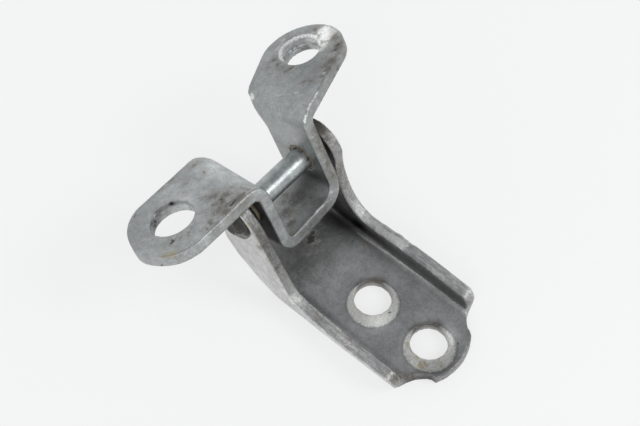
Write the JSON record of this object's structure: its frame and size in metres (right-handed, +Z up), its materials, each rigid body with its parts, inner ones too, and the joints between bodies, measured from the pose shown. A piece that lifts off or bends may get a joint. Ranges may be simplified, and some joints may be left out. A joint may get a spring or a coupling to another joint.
{
  "type": "car door hinge",
  "caption": "Pressed steel car door hinge: a channel-shaped base bracket with a pin between its ears, and a hat-shaped swinging bracket with two bolting tabs.",
  "frame": {"origin": "middle of the base's two bolt holes, on the underside of its web", "axes": "+X along the hinge pin, from its head to its tail; +Z up from the base's bolting face; -Y towards the rounded tongue of the base"},
  "size_m": [0.1015, 0.1116, 0.0582],
  "materials": {
    "base_steel": "dark grey coated steel, satin, worn at the rims",
    "wing_steel": "bluish grey coated steel, satin, grimy",
    "pin_steel": "zinc-plated steel, half bright",
    "bush": "dull bearing bronze, greasy"
  },
  "bodies": {
    "base": {"base_bracket": "base_steel", "hinge_pin": "pin_steel"},
    "wing": {"wing_bracket": "wing_steel", "left_bush": "bush", "right_bush": "bush"}
  },
  "joints": [
    {"name": "hinge", "type": "hinge", "parent": "base", "child": "wing", "pos_m": [0, 0.052, 0.036], "axis": [1, 0, 0], "range_deg": [-50, 25.5]}
  ]
}
